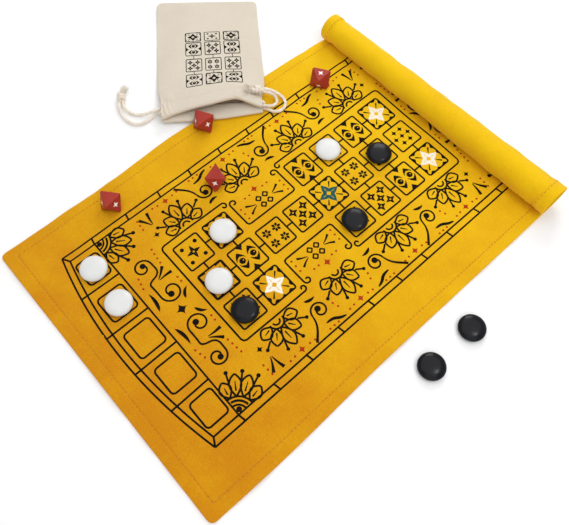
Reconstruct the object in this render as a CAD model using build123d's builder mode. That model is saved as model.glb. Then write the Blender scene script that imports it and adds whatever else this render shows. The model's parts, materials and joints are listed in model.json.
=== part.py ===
from build123d import *
from math import acos, atan, cos, degrees, pi, radians, sin, sqrt, tan
import os

# A roll-up cloth game set: the printed mat with one end rolled over, playing stones,
# eight-sided dice with star marks, and a drawstring pouch lying across the mat's far edge.
# Millimetres. Origin: underside of the mat, at the middle of its printed squares.
# +X runs along the mat towards the roll, +Y across it towards the pouch, +Z up.

os.makedirs("parts", exist_ok=True)

# Mat
mat_length = 457.0  # cut length, from the flat end to the end inside the roll
mat_width = 275.0
canvas = 0.8
hem_width = 11.0  # turned to the back once, so the cloth is double there
square_pitch_x = 31.0  # from square to square along the mat
square_pitch_y = 33.4  # from square to square across the mat
roll_radius = 15.4  # outside, over its hems
roll_turn = 328.0  # degrees of cloth in the roll
turn_up_x = 124.0  # fold line where the rolled end lifts off the table
reserve_x = -182.0  # the five waiting squares across the flat end
reserve_pitch = 37.4

# Stones
stone_diameter = 23.0
stone_height = 7.5
stone_equator = 3.3  # height of its widest line over its flat foot
stone_edge_radius = 2.6
rest_gap = 0.2  # air under a piece that lies loose on another

# Dice
die_edge = 18.0
die_tip_cut = 1.1  # taken off each corner
die_edge_radius = 0.6
star_radius = 2.9
star_waist = 1.25
star_depth = 0.4
mouth_die_across = -8.6  # where the die at the pouch's mouth lies, from the mouth's middle

# Pouch, laid slantwise with its mouth on the mat
pouch_width = 100.0
mouth_width = 93.0
pouch_length = 142.0
pouch_angle = 53.7  # direction of its closed end, from +X
pouch_x = -8.7  # middle of its mouth
pouch_overlap = 6.0  # how far the middle of its mouth reaches in over the mat
pouch_canvas = 0.8
mouth_rise = 8.0  # how high the upper side of the mouth gapes in the middle
end_rise = 1.0
flare = 18.0  # length over which the sides widen from the mouth
cord_diameter = 3.0
lane_gap = 0.8  # between the two cords side by side in a casing
casing_start = -1.5
casing_width = 13.0
casing_wall = 0.6
cord_slack = 0.4  # room over a cord in its casing
layer_gap = 0.2

# Knots
knot_radius = 4.2
knot_length = 9.0
knot_edge = 0.6
tassel_length = 5.5
tassel_root_radius = 2.0
tassel_end_radius = 2.8

# The mat's cross-section is measured along the middle of the cloth.
half_length = mat_length / 2
half_width = mat_width / 2
hem = 2 * canvas
inner_radius = roll_radius - hem
cloth_radius = inner_radius + canvas / 2
roll_x = -half_length + mat_length - cloth_radius * radians(roll_turn)


def roll_point(radius, turn):
    # a point of the roll's section, turned from its lowest line up and over the mat
    angle = radians(turn - 90)
    return (roll_x + radius * cos(angle), roll_radius + radius * sin(angle))


def roll_arc(radius, turn_from, turn_to):
    return ThreePointArc(
        roll_point(radius, turn_from),
        roll_point(radius, (turn_from + turn_to) / 2),
        roll_point(radius, turn_to),
    )


def roll_section(plane, thickness):
    # the flat strip before the roll and the loop: the printed side is level, the back is under it
    outer = inner_radius + thickness
    half = roll_turn / 2
    with BuildSketch(plane) as section:
        with BuildLine():
            Line((turn_up_x, hem), (turn_up_x, hem - thickness))
            Line((turn_up_x, hem - thickness), (roll_x, hem - thickness))
            roll_arc(outer, 0, half)
            roll_arc(outer, half, roll_turn)
            Line(roll_point(outer, roll_turn), roll_point(inner_radius, roll_turn))
            roll_arc(inner_radius, roll_turn, half)
            roll_arc(inner_radius, half, 0)
            Line((roll_x, hem), (turn_up_x, hem))
        make_face()
    return section.sketch


# Flat part of the mat: one sheet, doubled underneath along its three hemmed edges
field_length = turn_up_x + half_length
field_middle = (turn_up_x - half_length) / 2
with BuildPart() as mat_field:
    with BuildSketch():
        with Locations((field_middle, 0)):
            Rectangle(field_length, mat_width)
        with Locations((field_middle + hem_width / 2, 0)):
            Rectangle(field_length - hem_width, mat_width - 2 * hem_width, mode=Mode.SUBTRACT)
    extrude(amount=hem)
    with BuildSketch(Plane.XY.offset(hem - canvas)):
        with Locations((field_middle, 0)):
            Rectangle(field_length, mat_width)
    extrude(amount=canvas)
mat_field.part.label = "mat_field"
export_step(mat_field.part, "parts/mat_field.step")

# Rolled end of the mat, its unprinted back outwards, doubled at both ends and along its last edge
last_hem_turn = roll_turn - degrees(hem_width / roll_radius)
with BuildPart() as mat_roll:
    extrude(roll_section(Plane.XZ, canvas), amount=half_width, both=True)
    for hem_plane in (Plane.XZ.offset(half_width - hem_width), Plane.XZ.offset(-half_width)):
        extrude(roll_section(hem_plane, hem), amount=hem_width)
    with BuildSketch(Plane.XZ):
        with BuildLine():
            roll_arc(roll_radius - canvas, last_hem_turn, roll_turn)
            Line(roll_point(roll_radius - canvas, roll_turn), roll_point(roll_radius, roll_turn))
            roll_arc(roll_radius, roll_turn, last_hem_turn)
            Line(roll_point(roll_radius, last_hem_turn), roll_point(roll_radius - canvas, last_hem_turn))
        make_face()
    extrude(amount=half_width, both=True)
mat_roll.part.label = "mat_roll"
export_step(mat_roll.part, "parts/mat_roll.step")


# Stones: a lens with a round edge on a small flat
def square_centre(column, row):
    # columns run 1 to 8 towards the roll, rows 1 to 3 from the far side to the near side
    return ((column - 4.5) * square_pitch_x, (2 - row) * square_pitch_y)


def reserve_centre(number):
    # the five waiting squares, numbered from the far side
    return (reserve_x, (3 - number) * reserve_pitch)


def shifted(place, move_x, move_y):
    return (place[0] + move_x, place[1] + move_y)


on_mat = hem + rest_gap
stone_places = {
    "white_stone_1": (*shifted(reserve_centre(1), 2.0, -1.0), on_mat),
    "white_stone_2": (*shifted(reserve_centre(2), 0.2, -1.4), on_mat),
    "white_stone_3": (*shifted(square_centre(2, 1), -1.2, -2.4), on_mat),
    "white_stone_4": (*shifted(square_centre(1, 2), -1.5, -2.0), on_mat),
    "white_stone_5": (*shifted(square_centre(6, 1), -1.6, -0.8), on_mat),
    "black_stone_1": (*shifted(square_centre(1, 3), -1.7, -1.6), on_mat),
    "black_stone_2": (*shifted(square_centre(5, 3), -2.6, -1.2), on_mat),
    "black_stone_3": (*shifted(square_centre(7, 2), -0.6, -0.6), on_mat),
    "black_stone_4": (15.7, -half_width - 27.8, 0.0),
    "black_stone_5": (-31.5, -half_width - 27.6, 0.0),
}
edge_centre = stone_diameter / 2 - stone_edge_radius
dome_height = stone_height - stone_equator
dome_squares = edge_centre**2 + dome_height**2 - stone_edge_radius**2
dome_radius = dome_squares / (dome_height - stone_edge_radius) / 2
dome_drop = dome_radius - dome_height  # from the widest line to the dome's centre
dome_lean = degrees(atan(edge_centre / dome_drop))  # of the line where dome and edge meet
foot_lean = degrees(acos((dome_drop + stone_equator) / dome_radius))
foot_radius = dome_radius * sin(radians(foot_lean))
for stone_name, stone_place in stone_places.items():
    waist = Vector(*stone_place) + Vector(0, 0, stone_equator)
    with BuildPart() as stone:
        with BuildSketch(Plane(origin=waist, x_dir=(1, 0, 0), z_dir=(0, -1, 0))):
            with BuildLine():
                Line((0, dome_height), (0, -stone_equator))
                Line((0, -stone_equator), (foot_radius, -stone_equator))
                CenterArc((0, dome_drop), dome_radius, foot_lean - 90, dome_lean - foot_lean)
                CenterArc((edge_centre, 0), stone_edge_radius, dome_lean - 90, 180 - 2 * dome_lean)
                CenterArc((0, -dome_drop), dome_radius, 90 - dome_lean, dome_lean)
            make_face()
        revolve(axis=Axis(waist, (0, 0, 1)))
    stone.part.label = stone_name
    export_step(stone.part, f"parts/{stone_name}.step")

# Dice: regular octahedra that lie on one face
pouch_y = half_width - pouch_overlap
axis_u = Vector(cos(radians(pouch_angle)), sin(radians(pouch_angle)), 0)  # towards the closed end
axis_v = Vector(sin(radians(pouch_angle)), -cos(radians(pouch_angle)), 0)  # towards its right side
mouth_middle = Vector(pouch_x, pouch_y, 0)


def pouch_point(across, along, height):
    # across from the pouch's middle line, along from its mouth, height above the table
    return mouth_middle + axis_v * across + axis_u * along + Vector(0, 0, height)


die_height = die_edge * sqrt(2 / 3)
die_reach = die_edge / sqrt(2)  # from the middle to a corner
die_spread = die_edge / sqrt(3)
low_corner_angle = radians(pouch_angle - 30)  # between its nearest low corner and the pouch
die_at_mouth = pouch_point(mouth_die_across, casing_start - die_spread * cos(low_corner_angle) - rest_gap, 0)
# for each die: place, turn of one upper corner about Z, whether its upper face is a marked one
dice = {
    1: ((92.5, half_width - 43.3), 94.0, True),
    2: ((die_at_mouth.X, die_at_mouth.Y), 90.0, False),
    3: ((-51.9, half_width - 64.2), 168.0, False),
    4: ((-133.9, half_width - 23.6), 100.0, False),
}
for number, (place, turn, upper_marked) in dice.items():
    middle = Vector(place[0], place[1], on_mat + die_height / 2)
    tilt = atan(sqrt(2))  # between a corner's direction and the upright
    corners = []
    for step in range(3):
        azimuth = radians(turn + 120 * step)
        corners.append(Vector(sin(tilt) * cos(azimuth), sin(tilt) * sin(azimuth), cos(tilt)))
    die_plane = Plane(origin=middle, x_dir=corners[0], z_dir=corners[2])
    marked_faces = []
    for sign_0 in (1, -1):
        for sign_1 in (1, -1):
            for sign_2 in (1, -1):
                if (sign_0 * sign_1 * sign_2 > 0) == upper_marked:
                    outward = corners[0] * sign_0 + corners[1] * sign_1 + corners[2] * sign_2
                    outward = outward * (1 / sqrt(3))
                    face_middle = middle + outward * (die_height / 2)
                    face_x = outward.cross(corners[0])
                    marked_faces.append(Plane(origin=face_middle, x_dir=face_x, z_dir=outward))
    with BuildPart(die_plane) as die_body:
        with BuildSketch(die_plane):
            Rectangle(die_edge, die_edge, rotation=45)
        extrude(amount=die_reach - die_tip_cut, both=True, taper=degrees(atan(sqrt(0.5))))
        cut_size = 2 * (die_reach - die_tip_cut)
        Box(cut_size, cut_size, cut_size, mode=Mode.INTERSECT)
        fillet(die_body.edges(), radius=die_edge_radius)
    with BuildPart() as die_stars:
        for face_plane in marked_faces:
            with BuildSketch(face_plane):
                points = []
                for step in range(8):
                    reach = star_radius if step % 2 == 0 else star_waist
                    points.append((reach * cos(step * pi / 4), reach * sin(step * pi / 4)))
                Polygon(*points, align=None)
            extrude(amount=-star_depth)
    with BuildPart() as die:
        add(die_body.part)
        add(die_stars.part, mode=Mode.SUBTRACT)
    die.part.label = f"die_{number}"
    export_step(die.part, f"parts/die_{number}.step")
    die_stars.part.label = f"die_{number}_star_marks"
    export_step(die_stars.part, f"parts/die_{number}_star_marks.step")

# Pouch: a lower and an upper side of canvas, each ending at the mouth in a stitched casing
pouch_floor = on_mat
casing_height = cord_diameter + cord_slack + 2 * casing_wall
casing_middle = casing_start + casing_width / 2
panel_start = casing_start + casing_width
slot_width = 2 * cord_diameter + lane_gap + cord_slack
slot_height = cord_diameter + cord_slack
lane = (cord_diameter + lane_gap) / 2
lower_height = casing_height / 2  # the lower cords' level over the pouch's floor
upper_height = casing_height * 1.5 + layer_gap
half_mouth = mouth_width / 2
half_pouch = pouch_width / 2

# each drawcord turns down at the end of the upper casing and goes back through the lower one
arch_slope = 2 * atan(mouth_rise / half_mouth)
turn_radius = (upper_height - lower_height) / (1 + cos(arch_slope))
turn_across = half_mouth - turn_radius * sin(arch_slope)
turn_height = upper_height - turn_radius * cos(arch_slope)


def section_plane(along):
    # upright, across the pouch: X to its right, Y up from the pouch's floor
    return Plane(origin=pouch_point(0, along, pouch_floor), x_dir=axis_v, z_dir=axis_u * -1)


def casing_sketch():
    # the doubled canvas round the two cords that lie side by side
    Rectangle(casing_width, casing_height)
    Rectangle(slot_width, slot_height, mode=Mode.SUBTRACT)


pouch_plane = Plane(origin=pouch_point(0, 0, pouch_floor), x_dir=axis_v, z_dir=(0, 0, 1))
with BuildPart() as pouch_back_panel:
    with BuildSketch(pouch_plane):
        with BuildLine():
            Polyline(
                (-half_mouth, panel_start),
                (half_mouth, panel_start),
                (half_pouch, panel_start + flare),
                (half_pouch, pouch_length),
                (-half_pouch, pouch_length),
                (-half_pouch, panel_start + flare),
                close=True,
            )
        make_face()
    extrude(amount=pouch_canvas)
pouch_back_panel.part.label = "pouch_back_panel"
export_step(pouch_back_panel.part, "parts/pouch_back_panel.step")

with BuildPart() as pouch_back_casing:
    casing_end = pouch_point(-turn_across, casing_middle, pouch_floor + lower_height)
    with BuildSketch(Plane(origin=casing_end, x_dir=axis_u, z_dir=axis_v)):
        casing_sketch()
    extrude(amount=2 * turn_across)
pouch_back_casing.part.label = "pouch_back_casing"
export_step(pouch_back_casing.part, "parts/pouch_back_casing.step")

with BuildPart() as pouch_front_casing:
    with BuildLine(section_plane(casing_middle)) as mouth_arch:
        ThreePointArc((-half_mouth, upper_height), (0, upper_height + mouth_rise), (half_mouth, upper_height))
    with BuildSketch(Plane(origin=mouth_arch.line @ 0, x_dir=axis_u, z_dir=mouth_arch.line % 0)):
        casing_sketch()
    sweep()
pouch_front_casing.part.label = "pouch_front_casing"
export_step(pouch_front_casing.part, "parts/pouch_front_casing.step")

# Upper side of the pouch: an arch at the mouth that lies down towards the closed end.
# For each place along it: half width, height of its sides, rise of its middle over them. The
# shares say how far it has come down there.
arch_places = (
    (panel_start, half_mouth, upper_height, mouth_rise),
    (panel_start + flare, half_pouch, upper_height * 0.82, mouth_rise),
    (pouch_length * 0.6, half_pouch, upper_height * 0.55, mouth_rise * 0.75),
    (pouch_length - pouch_canvas, half_pouch, upper_height * 0.3, end_rise),
)
with BuildPart() as pouch_front_panel:
    for along, half, side, rise in arch_places:
        with BuildSketch(section_plane(along)):
            with BuildLine():
                Line((-half, pouch_canvas), (-half, side))
                ThreePointArc((-half, side), (0, side + rise), (half, side))
                Line((half, side), (half, pouch_canvas))
                Line((half, pouch_canvas), (half - pouch_canvas, pouch_canvas))
                Line((half - pouch_canvas, pouch_canvas), (half - pouch_canvas, side - pouch_canvas))
                ThreePointArc(
                    (half - pouch_canvas, side - pouch_canvas),
                    (0, side + rise - pouch_canvas),
                    (-half + pouch_canvas, side - pouch_canvas),
                )
                Line((-half + pouch_canvas, side - pouch_canvas), (-half + pouch_canvas, pouch_canvas))
                Line((-half + pouch_canvas, pouch_canvas), (-half, pouch_canvas))
            make_face()
    loft(ruled=True)
    end_half, end_side, end_top = arch_places[-1][1:]
    with BuildSketch(section_plane(pouch_length)):
        with BuildLine():
            Line((-end_half, pouch_canvas), (-end_half, end_side))
            ThreePointArc((-end_half, end_side), (0, end_side + end_top), (end_half, end_side))
            Line((end_half, end_side), (end_half, pouch_canvas))
            Line((end_half, pouch_canvas), (-end_half, pouch_canvas))
        make_face()
    extrude(amount=pouch_canvas)
pouch_front_panel.part.label = "pouch_front_panel"
export_step(pouch_front_panel.part, "parts/pouch_front_panel.step")

# Drawcords inside the casings: over the mouth, down at the far side and back under it
turn_middle = (
    turn_across + turn_radius * cos(arch_slope / 2),
    turn_height - turn_radius * sin(arch_slope / 2),
)
turn_end = (turn_across, turn_height - turn_radius)
for cord_name, side, along in (
    ("drawcord_left_inside", 1, casing_middle + lane),
    ("drawcord_right_inside", -1, casing_middle - lane),
):
    with BuildPart() as inside_cord:
        with BuildLine(section_plane(along)) as inside_route:
            start = (-side * half_mouth, upper_height)
            over = (side * half_mouth, upper_height)
            ThreePointArc(start, (0, upper_height + mouth_rise), over)
            ThreePointArc(over, (side * turn_middle[0], turn_middle[1]), (side * turn_end[0], turn_end[1]))
            Line((side * turn_end[0], turn_end[1]), (-side * half_mouth, lower_height))
        with BuildSketch(Plane(origin=inside_route.line @ 0, z_dir=inside_route.line % 0)):
            Circle(cord_diameter / 2)
        sweep()
    inside_cord.part.label = cord_name
    export_step(inside_cord.part, f"parts/{cord_name}.step")

# Free ends of the drawcords, from the casing to the knot: across the pouch's middle line,
# along from its mouth, height above the table
cord_routes = {
    "drawcord_left_front_end": [
        (-46.5, 6.9, 8.9),
        (-50.3, 6.9, 7.55),
        (-55.0, 6.6, 5.6),
        (-60.4, 6.2, 3.6),
        (-66.4, 6.3, 2.0),
        (-72.4, 7.6, 1.7),
        (-77.8, 10.4, 2.2),
        (-81.2, 14.2, 3.5),
        (-82.4, 18.0, 4.3),
        (-82.4, 21.0, 4.3),
    ],
    "drawcord_left_back_end": [
        (-46.5, 6.9, 4.1),
        (-49.5, 6.9, 4.1),
        (-53.3, 4.9, 3.3),
        (-57.6, 1.4, 2.3),
        (-62.6, -2.2, 1.7),
        (-68.4, -4.2, 1.6),
        (-74.2, -3.0, 1.6),
        (-79.2, 0.8, 1.6),
        (-82.8, 5.8, 1.8),
        (-85.4, 11.8, 3.0),
        (-86.2, 17.0, 4.3),
        (-86.2, 21.0, 4.3),
    ],
    "drawcord_right_front_end": [
        (46.5, 3.1, 8.9),
        (49.7, 3.1, 7.77),
        (53.6, 3.4, 6.4),
        (57.4, 4.9, 5.2),
        (60.2, 7.9, 4.6),
        (60.8, 11.6, 5.3),
        (58.9, 14.3, 7.5),
        (55.0, 15.0, 10.8),
        (50.68, 14.6, 13.02),
        (47.6, 14.6, 13.9),
    ],
    "drawcord_right_back_end": [
        (46.5, 3.1, 4.1),
        (49.3, 3.1, 4.1),
        (52.8, 1.2, 3.7),
        (56.9, -1.0, 3.4),
        (61.6, -0.9, 3.4),
        (65.9, 1.6, 3.4),
        (68.5, 6.2, 3.4),
        (68.4, 11.6, 3.4),
        (65.6, 16.0, 4.0),
        (61.6, 18.3, 6.2),
        (56.6, 18.9, 9.4),
        (51.44, 18.4, 12.8),
        (47.6, 18.4, 13.9),
    ],
}


def bend_radii(points):
    # each bend as wide as its two runs allow
    radii = []
    for before, corner, after in zip(points, points[1:], points[2:]):
        run_in = corner - before
        run_out = after - corner
        half_turn = radians(run_in.get_angle(run_out)) / 2
        radii.append(0.45 * min(run_in.length, run_out.length) / tan(half_turn))
    return radii


for cord_name, route in cord_routes.items():
    points = [pouch_point(*place) for place in route]
    radii = bend_radii(points)
    with BuildPart() as free_cord:
        with BuildLine():
            cord_line = FilletPolyline(*points, radius=radii)
        with BuildSketch(Plane(origin=cord_line @ 0, z_dir=cord_line % 0)):
            Circle(cord_diameter / 2)
        sweep()
    tube_volume = pi * cord_diameter**2 / 4 * cord_line.length
    print(cord_name, "length", round(cord_line.length, 1), "bends", [round(radius, 1) for radius in radii])
    print(cord_name, "volume against section times length", round(free_cord.part.volume / tube_volume, 4))
    free_cord.part.label = cord_name
    export_step(free_cord.part, f"parts/{cord_name}.step")

# Knots that tie each cord's two ends, with the frayed ends beyond
knot_lean = radians(16)  # the right one lies up the slope of the pouch
knots = {
    "knot_left": ((-84.3, 21.0, 4.3), axis_u),
    "knot_right": ((47.6, 16.5, 13.9), axis_v * -cos(knot_lean) + Vector(0, 0, sin(knot_lean))),
}
for knot_name, (place, direction) in knots.items():
    knot_plane = Plane(origin=pouch_point(*place), z_dir=direction)
    with BuildPart(knot_plane) as knot:
        Cylinder(knot_radius, knot_length, align=(Align.CENTER, Align.CENTER, Align.MIN))
        fillet(knot.edges().filter_by(GeomType.CIRCLE), radius=knot_edge)
        with Locations((0, 0, knot_length)):
            Cone(
                tassel_root_radius,
                tassel_end_radius,
                tassel_length,
                align=(Align.CENTER, Align.CENTER, Align.MIN),
            )
    knot.part.label = knot_name
    export_step(knot.part, f"parts/{knot_name}.step")
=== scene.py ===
import json
import bpy
import numpy as np
from mathutils import Matrix, Vector

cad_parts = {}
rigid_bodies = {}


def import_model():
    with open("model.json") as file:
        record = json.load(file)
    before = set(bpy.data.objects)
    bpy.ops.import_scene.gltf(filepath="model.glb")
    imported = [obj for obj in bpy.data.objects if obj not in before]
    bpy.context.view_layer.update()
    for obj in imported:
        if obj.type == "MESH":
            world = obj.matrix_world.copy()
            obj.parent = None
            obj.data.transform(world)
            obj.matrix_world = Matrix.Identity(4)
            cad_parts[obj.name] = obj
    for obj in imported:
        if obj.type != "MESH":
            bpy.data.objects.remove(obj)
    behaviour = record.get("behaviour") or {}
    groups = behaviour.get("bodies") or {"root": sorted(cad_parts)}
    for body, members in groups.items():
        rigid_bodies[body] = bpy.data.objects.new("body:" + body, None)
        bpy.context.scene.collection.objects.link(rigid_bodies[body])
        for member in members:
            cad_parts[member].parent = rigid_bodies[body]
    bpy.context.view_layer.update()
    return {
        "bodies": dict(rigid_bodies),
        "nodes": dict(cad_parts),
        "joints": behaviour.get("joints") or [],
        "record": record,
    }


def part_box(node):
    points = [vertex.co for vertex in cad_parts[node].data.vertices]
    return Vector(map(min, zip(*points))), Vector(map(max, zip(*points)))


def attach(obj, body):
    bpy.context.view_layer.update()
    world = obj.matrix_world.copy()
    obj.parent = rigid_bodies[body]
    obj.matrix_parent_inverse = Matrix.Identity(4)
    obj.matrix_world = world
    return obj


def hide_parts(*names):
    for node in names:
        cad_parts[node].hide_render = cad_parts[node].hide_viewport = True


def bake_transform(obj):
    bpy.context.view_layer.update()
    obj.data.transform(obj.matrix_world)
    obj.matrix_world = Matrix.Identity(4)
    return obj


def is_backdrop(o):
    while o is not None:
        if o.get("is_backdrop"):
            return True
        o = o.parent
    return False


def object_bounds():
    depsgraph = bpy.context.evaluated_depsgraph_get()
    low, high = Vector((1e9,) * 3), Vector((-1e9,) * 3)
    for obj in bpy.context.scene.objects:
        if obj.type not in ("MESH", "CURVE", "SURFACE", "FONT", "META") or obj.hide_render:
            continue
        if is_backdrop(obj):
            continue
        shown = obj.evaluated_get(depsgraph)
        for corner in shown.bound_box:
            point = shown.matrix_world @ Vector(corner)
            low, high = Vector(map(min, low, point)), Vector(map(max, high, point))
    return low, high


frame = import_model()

# A roll-up cloth game set. Shapes are worked out in millimetres, and meshes are written in metres.
mm = 0.001
pi = np.pi
up = np.array([0.0, 0.0, 1.0])


# Camera, light and floor
viewSettings = {
    "place": (-0.1982, -0.1694, 0.4554),
    "target": (-0.0575, -0.0234, 0.0),
    "rollDegrees": 2.44,
    "lens": 37.77,
    "skyStrength": 0.48,
    "floorColour": (0.98, 0.98, 0.98, 1),
    "floorSize": 6.0,
}
lampSettings = {  # place, size and power of each soft panel, all aimed at the middle of the mat
    "overhead": ((0.20, 0.10, 1.4), 1.8, 9.5),
    "window": ((0.95, 0.65, 0.75), 0.6, 5.0),
    "glint": ((0.22, -0.45, 0.9), 0.2, 1.0),
    "fill": ((-0.7, -0.9, 0.8), 1.4, 4.0),
}


def aimed(place, target, roll=0.0):
    # a frame that looks along -Z at the target, rolled about its own line of sight
    line = Vector(target) - Vector(place)
    turn = line.to_track_quat("-Z", "Y").to_matrix().to_4x4() @ Matrix.Rotation(roll, 4, "Z")
    return Matrix.Translation(place) @ turn


def setStage():
    scene = bpy.context.scene
    camera = bpy.data.objects.new("camera", bpy.data.cameras.new("camera"))
    camera.data.lens = viewSettings["lens"]
    camera.data.clip_start = 0.01
    roll = np.radians(viewSettings["rollDegrees"])
    camera.matrix_world = aimed(viewSettings["place"], viewSettings["target"], roll)
    scene.collection.objects.link(camera)
    scene.camera = camera
    for name, (place, size, power) in lampSettings.items():
        lamp = bpy.data.objects.new(name, bpy.data.lights.new(name, "AREA"))
        lamp.data.size = size
        lamp.data.energy = power
        lamp.matrix_world = aimed(place, viewSettings["target"])
        scene.collection.objects.link(lamp)
    scene.world = bpy.data.worlds.new("sky")
    scene.world.use_nodes = True
    sky = scene.world.node_tree.nodes["Background"]
    sky.inputs["Color"].default_value = (1, 1, 1, 1)
    sky.inputs["Strength"].default_value = viewSettings["skyStrength"]
    scene.view_settings.view_transform = "Standard"


# Shader maths as Python: a Val holds one socket, and an operator on it adds a Math node.
def operator(operation, swapped=False):
    def apply(self, other):
        first, second = (other, self) if swapped else (self, other)
        return self.finish.add("Math", {"operation": operation}, {0: first, 1: second})

    return apply


class Val:
    def __init__(self, finish, socket):
        self.finish = finish
        self.socket = socket

    __add__ = operator("ADD")
    __radd__ = operator("ADD")
    __sub__ = operator("SUBTRACT")
    __rsub__ = operator("SUBTRACT", True)
    __mul__ = operator("MULTIPLY")
    __rmul__ = operator("MULTIPLY")

    def sine(self):
        return self.finish.add("Math", {"operation": "SINE"}, {0: self})

    def size(self):
        return self.finish.add("Math", {"operation": "ABSOLUTE"}, {0: self})


# A material: constants go on the shader's own sockets, and add() makes any other node.
class Finish:
    def __init__(self, name, constants):
        self.material = bpy.data.materials.new(name)
        self.material.use_nodes = True
        self.tree = self.material.node_tree
        self.shader = self.tree.nodes["Principled BSDF"]
        for socket, value in constants.items():
            self.shader.inputs[socket].default_value = value

    def feed(self, socket, value):
        if isinstance(value, Val):
            self.tree.links.new(value.socket, socket)
        else:
            socket.default_value = value

    def add(self, kind, settings, inputs, output=0):
        node = self.tree.nodes.new("ShaderNode" + kind)
        for name, value in settings.items():
            setattr(node, name, value)
        for key, value in inputs.items():
            self.feed(node.inputs[key], value)
        return Val(self, node.outputs[output])

    def place(self, output):
        return self.add("TexCoord", {}, {}, output)

    def axis(self, place, number):
        return self.add("SeparateXYZ", {}, {0: place}, number)

    def noise(self, place, scale, detail=3.0, rough=0.55):
        inputs = {"Vector": place, "Scale": scale, "Detail": detail, "Roughness": rough}
        return self.add("TexNoise", {}, inputs)

    def streaks(self, place, scale, detail=3.0):
        # noise drawn out one way, as threads and fibres are
        return self.noise(self.add("Mapping", {}, {"Vector": place, "Scale": scale}), 1.0, detail)

    def between(self, value, low, high, toLow, toHigh):
        # value carried from low..high to toLow..toHigh, clamped
        return self.add("MapRange", {}, {0: value, 1: low, 2: high, 3: toLow, 4: toHigh})

    def mix(self, share, first, second):
        return self.add("Mix", {"data_type": "RGBA"}, {0: share, 6: first, 7: second}, 2)

    def bump(self, height, distance, strength=1.0):
        return self.add("Bump", {}, {"Height": height, "Distance": distance, "Strength": strength})

    def paint(self, **links):
        for name, value in links.items():
            self.feed(self.shader.inputs[name.replace("_", " ")], value)
        return self.material


def tone(red, green, blue):
    # a screen colour, 0 to 255, as the linear one that a shader takes
    share = np.array([red, green, blue]) / 255
    linear = np.where(share < 0.04045, share / 12.92, ((share + 0.055) / 1.055) ** 2.4)
    return (*(float(part) for part in linear), 1.0)


clothSettings = {
    "mustard": {
        "light": tone(246, 198, 6),
        "dark": tone(210, 136, 4),
        "thread": 0.00085,
        "depth": 0.00022,
        "fuzz": 0.08,
        "slubs": 0.2,
        "paintedShadeRamp": 2.3,  # painted shade: how much lighter the cloth is painted for each metre towards the far end, so its near end is darker where the light falls off
        "depthOfDye": 0.40,
    },
    "natural": {
        "light": tone(229, 219, 203),
        "dark": tone(212, 199, 180),
        "thread": 0.0009,
        "depth": 0.0002,
        "fuzz": 0.12,
        "slubs": 0.4,
        "paintedShadeRamp": 0.0,
        "depthOfDye": 0.45,
    },
}


def canvasFinish(name, settings):
    # plain weave: two sets of threads that pass over and under by turns, with uneven thick places,
    # faint mottling in the dye, painted shade that darkens the cloth towards its near end, and a little
    # crumple
    constants = {"Sheen Weight": settings["fuzz"], "Sheen Roughness": 0.45, "Specular IOR Level": 0.2}
    finish = Finish(name, constants)
    place = finish.place("UV")
    solid = finish.place("Object")
    across = finish.axis(place, 0) * (pi / settings["thread"])
    along = finish.axis(place, 1) * (pi / settings["thread"])
    over = across.sine() * along.sine()
    ribs = across.sine().size() + along.sine().size()
    slubs = finish.streaks(place, (60, 900, 1))
    slubsOther = finish.streaks(place, (900, 60, 1))
    mottle = finish.noise(solid, 22.0, 5.0, 0.6)
    grain = finish.noise(solid, 900.0, 2.0)
    crumple = finish.noise(solid, 30.0, 4.0, 0.5)
    # painted shade: the share of the dark tone grows towards the near end, standing in for the light falling
    # off there; the rest is real mottling
    paintedShadeRamp = finish.axis(place, 0) + finish.axis(place, 1) * 0.3
    uneven = (mottle - 0.5) * 0.9 + (slubs + slubsOther - 1) * settings["slubs"] + (grain - 0.5) * 0.4
    share = finish.between(uneven - paintedShadeRamp * settings["paintedShadeRamp"] + settings["depthOfDye"], 0, 1, 0, 1)
    colour = finish.mix(share, settings["light"], settings["dark"])
    height = over * 0.5 + ribs * 0.3 + (slubs + slubsOther) * 0.5
    weave = finish.bump(height, settings["depth"])
    soft = finish.add("Bump", {}, {"Height": crumple, "Distance": 0.0012, "Strength": 1.0, "Normal": weave})
    rough = finish.between(grain, 0.3, 0.7, 0.8, 0.95)
    return finish.paint(Base_Color=colour, Roughness=rough, Normal=soft)


def inkFinish(name, colour, worn):
    # ink soaked into the cloth: thin where the weave stands up, so its edges and fields are a little uneven
    finish = Finish(name, {"Specular IOR Level": 0.08})
    solid = finish.place("Object")
    grain = finish.noise(solid, 1400.0, 2.0)
    patch = finish.noise(solid, 90.0, 3.0)
    share = finish.between(grain * 0.5 + patch * 0.5, 0.35, 0.7, 0, 1)
    rough = finish.between(grain, 0.3, 0.7, 0.7, 0.9)
    return finish.paint(
        Base_Color=finish.mix(share, colour, worn), Roughness=rough, Normal=finish.bump(grain, 0.0002)
    )


def stoneFinish(name, colour, shade, gloss=0.3):
    # moulded and tumbled: almost even, with a faint cloud and the finest ripple under the gloss
    finish = Finish(name, {"Coat Weight": gloss, "Coat Roughness": 0.14, "Specular IOR Level": gloss * 0.5})
    solid = finish.place("Object")
    cloud = finish.noise(solid, 60.0, 4.0)
    ripple = finish.noise(solid, 240.0, 2.0)
    scuff = finish.noise(solid, 900.0, 3.0)
    return finish.paint(
        Base_Color=finish.mix(finish.between(cloud, 0.3, 0.7, 0, 1), colour, shade),
        Roughness=finish.between(scuff, 0.35, 0.75, 0.26, 0.42),
        Normal=finish.bump(ripple, 0.00004),
    )


def cordFinish(name, light, dark):
    # many fine fibres laid round the cord
    finish = Finish(name, {"Sheen Weight": 0.3, "Specular IOR Level": 0.2})
    place = finish.place("UV")
    solid = finish.place("Object")
    fibres = finish.streaks(place, (9, 700, 1), 4.0)
    patch = finish.noise(solid, 200.0, 3.0)
    share = finish.between(fibres + (patch - 0.5), 0.3, 0.75, 0, 1)
    return finish.paint(
        Base_Color=finish.mix(share, light, dark),
        Roughness=finish.between(fibres, 0.3, 0.7, 0.75, 0.95),
        Normal=finish.bump(fibres, 0.0003),
    )


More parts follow.
